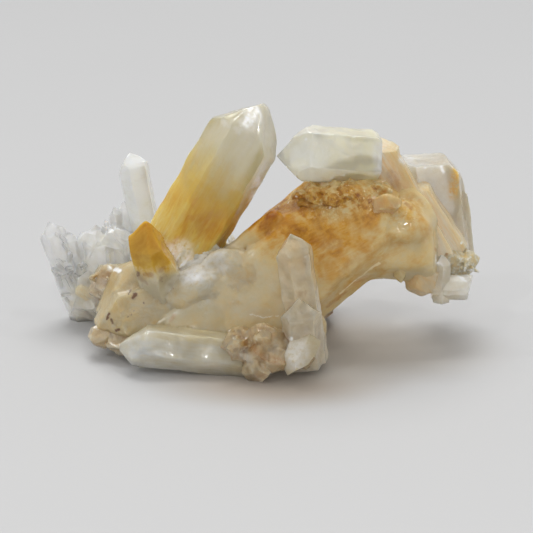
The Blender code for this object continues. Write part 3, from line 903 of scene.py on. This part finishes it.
def camera():
    """The photograph's camera: level with the picture's width, looking down LOOK_DOWN."""
    made = bpy.data.objects.new("camera", bpy.data.cameras.new("camera"))
    made.data.lens, made.data.sensor_width, made.data.clip_start = LENS, SENSOR, 0.01
    made.location = EYE * MM
    made.rotation_mode = "QUATERNION"
    made.rotation_quaternion = Vector(INTO_PICTURE).to_track_quat("-Z", "Y")
    put(made)
    bpy.context.scene.camera = made


def into_stone(x, y):
    """The ray through a pixel of the photograph's frame: where it starts and its direction."""
    right = np.array([1.0, 0.0, 0.0])
    up = np.cross(right, INTO_PICTURE)
    scale = SENSOR / LENS / PHOTO
    way = INTO_PICTURE + (x - PHOTO / 2) * scale * right + (PHOTO / 2 - y) * scale * up
    return Vector(EYE * MM), Vector(unit(way))


def on_stone(tree, x, y):
    """The place on the stone that shows at a pixel, in its own millimetres, and its face. A pixel
    beside the stone stands for the middle of space and the first face."""
    hit, _, face, _ = tree.ray_cast(*into_stone(x, y))
    return (np.zeros(3), 0) if hit is None else (np.array(hit) / MM - TO_ORIGIN, face)


# The white below serves both milky veils and fibres, and painted glints and highlights
WHITE_AND_GLINT, PALE = seen(240, 240, 234), seen(208, 194, 158)
BROWN, DARK = seen(142, 104, 46), seen(84, 48, 30)
RUST, GOLD = seen(146, 94, 14), seen(184, 144, 50)

# Marks that the photograph shows: colour, reach in millimetres, strength, and the pixels of its
# path, across and down in turn
# Many white marks are painted light: the small strong white spots and short white strokes are
# painted glints and highlights, and the strong white band from the main point's tip is painted
# sparkle. The other white marks are milky veils and white fibres, and the dark, brown, rust, gold
# and pale marks are stains and specks.
MARKS = [
    (DARK, 0.5, 0.9, 133.6, 297.4, 135.4, 293.6), (DARK, 0.28, 0.8, 129, 294, 131, 290),
    (DARK, 0.36, 0.9, 106.6, 319, 109.4, 313), (DARK, 0.3, 0.8, 110.8, 319, 112.4, 323),
    (DARK, 0.36, 0.9, 115.6, 330.4, 119, 329.6), (DARK, 0.24, 0.8, 144, 303),
    (DARK, 0.22, 0.7, 127.6, 317), (DARK, 0.22, 0.7, 131.7, 315), (DARK, 0.2, 0.6, 134, 311),
    (DARK, 0.2, 0.6, 162.6, 281), (BROWN, 0.26, 0.7, 173.5, 289),
    (DARK, 0.42, 0.8, 137.2, 275.4, 138.6, 273), (BROWN, 0.6, 0.7, 145, 274.5, 152, 275),
    (BROWN, 0.5, 0.6, 160, 271, 164, 268), (RUST, 0.5, 0.5, 146.7, 283.5),
    (RUST, 0.5, 0.4, 174, 315, 171, 321), (BROWN, 0.4, 0.6, 178, 261),
    (BROWN, 0.4, 0.5, 180, 269), (WHITE_AND_GLINT, 3, 0.6, 180, 252, 190, 276),
    (WHITE_AND_GLINT, 2.4, 0.5, 200, 256, 206, 274), (WHITE_AND_GLINT, 1.8, 0.5, 216, 252, 224, 266),
    (WHITE_AND_GLINT, 1.4, 0.8, 190, 276, 196, 279), (WHITE_AND_GLINT, 2, 0.95, 262, 103, 254, 112, 248, 122),
    (WHITE_AND_GLINT, 1, 0.5, 223, 122, 239, 130), (BROWN, 0.4, 0.3, 265, 164, 278, 153),
    (WHITE_AND_GLINT, 0.28, 0.9, 305.6, 139), (WHITE_AND_GLINT, 1.4, 0.6, 378, 148, 380, 172),
    (RUST, 1.6, 0.6, 314, 241, 336, 243),
    (BROWN, 0.9, 0.35, 350, 262, 343, 270, 341, 278, 335, 286),
    (PALE, 0.38, 0.8, 340, 293.5, 379, 263), (RUST, 0.7, 0.6, 328, 306, 345, 293),
    (RUST, 1.6, 0.7, 286, 208, 306, 206), (RUST, 1.8, 0.6, 268, 228, 290, 222),
    (WHITE_AND_GLINT, 0.3, 0.7, 288, 203), (WHITE_AND_GLINT, 0.28, 0.7, 297, 197), (WHITE_AND_GLINT, 0.28, 0.7, 330, 207),
    (PALE, 0.4, 0.8, 381, 209, 399, 206), (RUST, 1.2, 0.6, 391, 174, 396, 184),
    (GOLD, 1.8, 0.7, 406, 212), (RUST, 0.6, 0.6, 405, 203, 411, 208),
    (WHITE_AND_GLINT, 0.4, 0.9, 441, 166, 444, 172), (GOLD, 1.5, 0.8, 456, 170, 453, 194),
    (WHITE_AND_GLINT, 1, 0.7, 402, 161, 410, 158), (WHITE_AND_GLINT, 0.3, 0.9, 425, 168),
    (WHITE_AND_GLINT, 0.8, 0.7, 436, 257, 440, 264), (RUST, 0.5, 0.7, 435, 249, 447, 254),
    (WHITE_AND_GLINT, 0.3, 0.9, 461, 243), (WHITE_AND_GLINT, 0.4, 0.9, 458, 276.5, 466, 281),
    (WHITE_AND_GLINT, 0.26, 0.9, 305.5, 257), (BROWN, 0.8, 0.5, 297, 294, 303, 293),
    (WHITE_AND_GLINT, 0.13, 0.6, 250, 314, 262, 317, 279, 316), (WHITE_AND_GLINT, 0.13, 0.6, 269, 310, 265, 327),
    (WHITE_AND_GLINT, 0.4, 0.9, 289, 339, 292, 338), (RUST, 1, 0.7, 253, 347, 262, 357, 279, 361),
    (BROWN, 0.9, 0.6, 236, 331, 246, 343), (WHITE_AND_GLINT, 0.35, 0.8, 229, 331),
    (WHITE_AND_GLINT, 0.3, 0.8, 225, 338), (WHITE_AND_GLINT, 1.2, 0.4, 242, 352, 248, 360),
    (WHITE_AND_GLINT, 3.4, 0.6, 296, 352, 293, 358), (WHITE_AND_GLINT, 0.5, 0.9, 65, 295, 71, 298),
    (WHITE_AND_GLINT, 0.6, 0.9, 110, 267, 120, 271), (WHITE_AND_GLINT, 0.3, 0.9, 91, 245),
    (WHITE_AND_GLINT, 0.3, 0.9, 124, 212), (WHITE_AND_GLINT, 0.4, 0.8, 55, 240, 58, 250),
]


def marks_by_quartz(shell, tree):
    """For each material of the stone: the marks that lie on it, at places on the stone."""
    found = {material: [] for material in shell.data.materials}
    for tint, wide, strength, *path in MARKS:
        hits = [on_stone(tree, x, y) for x, y in zip(path[0::2], path[1::2])]
        places = [place for place, _ in hits]
        for index in {shell.data.polygons[face].material_index for _, face in hits}:
            found[shell.data.materials[index]].append((tint, wide, strength, places))
    return found


# Painted shadow on the card, where light comes warm through the stone: each patch's middle, its
# half sizes, how near its middle it is full, and its warm shadow colour
PAINTED_WARM_SHADOWS = [
    ((3.0, -24.0, 0.0), (30.0, 15.0, 100.0), 0.2, (0.33, 0.285, 0.24, 1)),
    ((12.0, -6.0, 0.0), (46.0, 24.0, 100.0), 0.3, (0.40, 0.37, 0.33, 1)),
]


def floor():
    """A wide white card, a little uneven in colour, with warm patches of painted shadow under the
    stone.
    """
    mesh = bpy.data.meshes.new("floor")
    w = 6.0  # metres
    mesh.from_pydata([(-w, -w, 0), (w, -w, 0), (w, w, 0), (-w, w, 0)], [], [(0, 1, 2, 3)])
    made = bpy.data.objects.new("floor", mesh)
    put(made)
    paper = bpy.data.materials.new("white_card")
    f = Finish(paper)
    colour = f.mix(f.noise(f.place, 0.004, 2.0), (0.428, 0.428, 0.43, 1), (0.446, 0.446, 0.448, 1))
    # Painted warm shadow: each patch darkens the card to a brownish tint under and in front of the
    # stone
    for middle, size, full, warm in PAINTED_WARM_SHADOWS:
        from_middle = f.vector("DIVIDE", f.vector("SUBTRACT", f.place, middle), size)
        colour = f.mix(f.measure("LENGTH", from_middle).between(1.0, full), colour, warm)
    card = f.node("ShaderNodeBsdfPrincipled", None, {"Base Color": colour, "Roughness": 0.8})
    f.node("ShaderNodeOutputMaterial", None, {"Surface": card.outputs[0]})
    mesh.materials.append(paper)


def lamp(name, kind, energy, place, **settings):
    """A lamp at a place in metres, turned towards the middle of the stone."""
    made = bpy.data.objects.new(name, bpy.data.lights.new(name, kind))
    made.data.energy = energy
    for key, value in settings.items():
        setattr(made.data, key, value)
    made.location = place
    made.rotation_mode = "QUATERNION"
    made.rotation_quaternion = (Vector((0, 0, 0.02)) - Vector(place)).to_track_quat("-Z", "Y")
    put(made)


GLINTS = [(-0.25, -0.3, 0.5), (0.2, -0.1, 0.6), (0.0, -0.45, 0.42), (-0.45, 0.0, 0.4),
          (0.42, -0.2, 0.36)]


def light():
    """An even white sky, a wide soft sun, and small lamps for the highlights."""
    world = bpy.data.worlds.new("studio")
    bpy.context.scene.world = world
    world.use_nodes = True
    sky = world.node_tree.nodes["Background"].inputs
    sky["Color"].default_value, sky["Strength"].default_value = (1.0, 1.0, 0.995, 1), 0.70
    lamp("overhead", "SUN", 1.9, (-0.06, 0.42, 0.88), angle=math.radians(38))
    for n, place in enumerate(GLINTS):
        lamp(f"glint_{n}", "AREA", 0.22, place, shape="DISK", size=0.018)
    bpy.context.scene.view_settings.view_transform = "Standard"


# Tone where the photograph shows it: pixel across, pixel down, and 0 for milk to 1 for amber
TONE_MARKS = [
    (275, 222, 0.95), (272, 210, 0.85), (300, 205, 0.75), (325, 240, 0.92), (350, 232, 0.72),
    (320, 215, 0.68), (345, 200, 0.78), (372, 198, 0.76), (395, 235, 0.56), (420, 245, 0.62),
    (400, 264, 0.52), (330, 270, 0.55), (345, 285, 0.62), (365, 262, 0.5), (385, 262, 0.6),
    (322, 293, 0.5), (264, 254, 0.52), (250, 272, 0.34), (262, 298, 0.46), (232, 262, 0.12),
    (240, 304, 0.48), (205, 290, 0.18), (190, 325, 0.42), (160, 318, 0.38), (150, 290, 0.2),
    (124, 306, 0.32), (110, 325, 0.24), (180, 310, 0.26), (180, 350, 0.14), (140, 345, 0.08),
    (215, 360, 0.14), (298, 262, 0.42), (290, 300, 0.38), (300, 320, 0.36), (420, 283, 0.5),
    (295, 350, 0.06), (262, 335, 0.44), (250, 350, 0.3), (262, 370, 0.3), (300, 368, 0.46),
    (318, 335, 0.3), (330, 150, 0.05), (355, 150, 0.45), (300, 150, 0.02), (375, 155, 0.12),
    (392, 190, 0.5), (408, 212, 0.66), (400, 160, 0.4), (425, 200, 0.4), (430, 170, 0.16),
    (455, 180, 0.5), (445, 215, 0.36), (460, 235, 0.34), (462, 262, 0.18), (455, 285, 0.2),
    (440, 262, 0.16), (55, 245, 0), (95, 240, 0.02), (60, 290, 0), (95, 290, 0.36),
    (112, 285, 0.42), (85, 310, 0.26), (138, 190, 0), (120, 240, 0.04), (400, 270, 0.36),
]

# Pixels along the torn band on top of the amber prism
TORN = [(284, 204), (296, 200), (310, 199), (325, 203), (340, 203), (356, 198), (372, 198),
        (388, 196), (404, 210)]


def lay_tones(shell, tree):
    """Keeps a tone at each vertex: the mean of the marks' tones, each weighed by
    exp(-d^2 / 2r^2) for its distance d, with r TONE_REACH. Keeps with it how torn and how hollow
    the stone is there."""
    marks = np.array([on_stone(tree, x, y)[0] for x, y, _ in TONE_MARKS])
    tones = np.array([tone for *_, tone in TONE_MARKS])
    co = numbers(shell.data.vertices, "co", 3, np.float32) / MM - TO_ORIGIN
    far = ((co[:, None] - marks) ** 2).sum(-1)
    weight = np.exp(-(far - far.min(1, keepdims=True)) / (2 * TONE_REACH**2))
    tone = (weight * tones).sum(1) / weight.sum(1)
    band = np.array([on_stone(tree, x, y)[0] for x, y in TORN])
    nearest = np.sqrt(((co[:, None] - band) ** 2).sum(-1)).min(1)
    torn, hollow = smooth(1.25 - nearest / TORN_REACH), hollows(shell.data, co)
    for name, values in (("tone", tone), ("torn", torn), ("hollow", hollow)):
        kept = shell.data.attributes.new(name, "FLOAT", "POINT")
        kept.data.foreach_set("value", values.astype(np.float32))


def neighbour_means(mesh):
    """Gives a function that takes a number or place for each point to the mean of what its
    neighbours along edges have."""
    ends = numbers(mesh.edges, "vertices", 2)
    one, other = np.concatenate([ends, ends[:, ::-1]]).T
    count = len(mesh.vertices)
    near = np.bincount(one, minlength=count)[:, None]
    return lambda at: np.stack([np.bincount(one, row[other], count) for row in at.T], 1) / near


def hollows(mesh, co):
    """0 on flat and raised stone, up to 1 in a crevice: how far a point lies below the mean of
    its neighbours, over a fifth of a millimetre, then spread to its neighbours twice."""
    normals = numbers(mesh.vertex_normals, "vector", 3, np.float32)
    mean = neighbour_means(mesh)
    below = ((mean(co) - co) * normals).sum(1, keepdims=True)
    return mean(mean(smooth(below / 0.2)))[:, 0]


def least_by_point(mesh, by_quartz):
    """For each point, the least of what a table of the quartzes says of those it borders on."""
    said = np.array([by_quartz.get(material, 0) for material in mesh.materials], float)
    slots, corners = (numbers(mesh.polygons, key) for key in ("material_index", "loop_total"))
    least = np.full(len(mesh.vertices), np.inf)
    at = numbers(mesh.loops, "vertex_index")
    np.minimum.at(least, at, np.repeat(said[slots], corners))
    return least


def weathered(shell):
    """Moves every point a little by soft waves of its own place, so that edges and faces are as
    uneven as the real stone's, and keeps what it stands on level and inside the frame's box."""
    co = numbers(shell.data.vertices, "co", 3, np.float32).astype(float) / MM
    sway = [waves(co, 6.0, 101 + k, 8) * 0.22 + waves(co, 2.2, 111 + k, 8) * 0.07 for k in range(3)]
    crumbs = np.stack([waves(co, 1.5, 121 + k, 10) for k in range(3)], 1)
    crumbs = crumbs * least_by_point(shell.data, CRUMBLE)[:, None]
    moved = co + (np.stack(sway, 1) + crumbs) * smooth(co[:, 2:])
    low, high = (np.array(c) / MM for c in CAD_BOX)
    shell.data.vertices.foreach_set("co", (np.clip(moved, low, high) * MM).ravel())
    shell.data.update()


def rounded(shell):
    """Wears edges round: in each round a point goes half-way to the mean of its neighbours, for
    as many rounds as the least worn quartz that it borders on. What lies on the table stays."""
    mesh = shell.data
    mean = neighbour_means(mesh)
    co = numbers(mesh.vertices, "co", 3, np.float32).astype(float) / MM
    worn = least_by_point(mesh, ROUNDS)
    free = smooth(co[:, 2:] / 0.8)
    for n in range(int(worn.max())):
        co += 0.5 * (worn[:, None] > n) * free * (mean(co) - co)
    mesh.vertices.foreach_set("co", (co * MM).astype(np.float32).ravel())
    mesh.shade_smooth()
    mesh.set_sharp_from_angle(angle=CREASE)
    mesh.update()


def main():
    """Grows the stone, wears it, colours it, and sets it on its card in front of the camera."""
    operands = large_points() + small_points() + left_group() + right_group()
    operands += front_druse() + hidden_side()
    shell = grown_together("grown_quartz", operands)
    rounded(shell)
    weathered(shell)
    tree = BVHTree.FromObject(shell, bpy.context.evaluated_depsgraph_get())
    lay_tones(shell, tree)
    marks = marks_by_quartz(shell, tree)
    for material, finish in {
        CLEAR: clear_finish, MANGO: mango_finish, ORANGE: orange_finish, MILKY: milky_finish,
        LEVEL: level_finish, AMBER: amber_finish, CREAM: cream_finish, TAN: tan_finish,
        STAINED: stained_finish, ROUGH: rough_finish,
    }.items():
        finish(Finish(material, marks[material]))
    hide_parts(NODE)
    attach(shell, "root")
    floor()
    light()
    camera()


main()
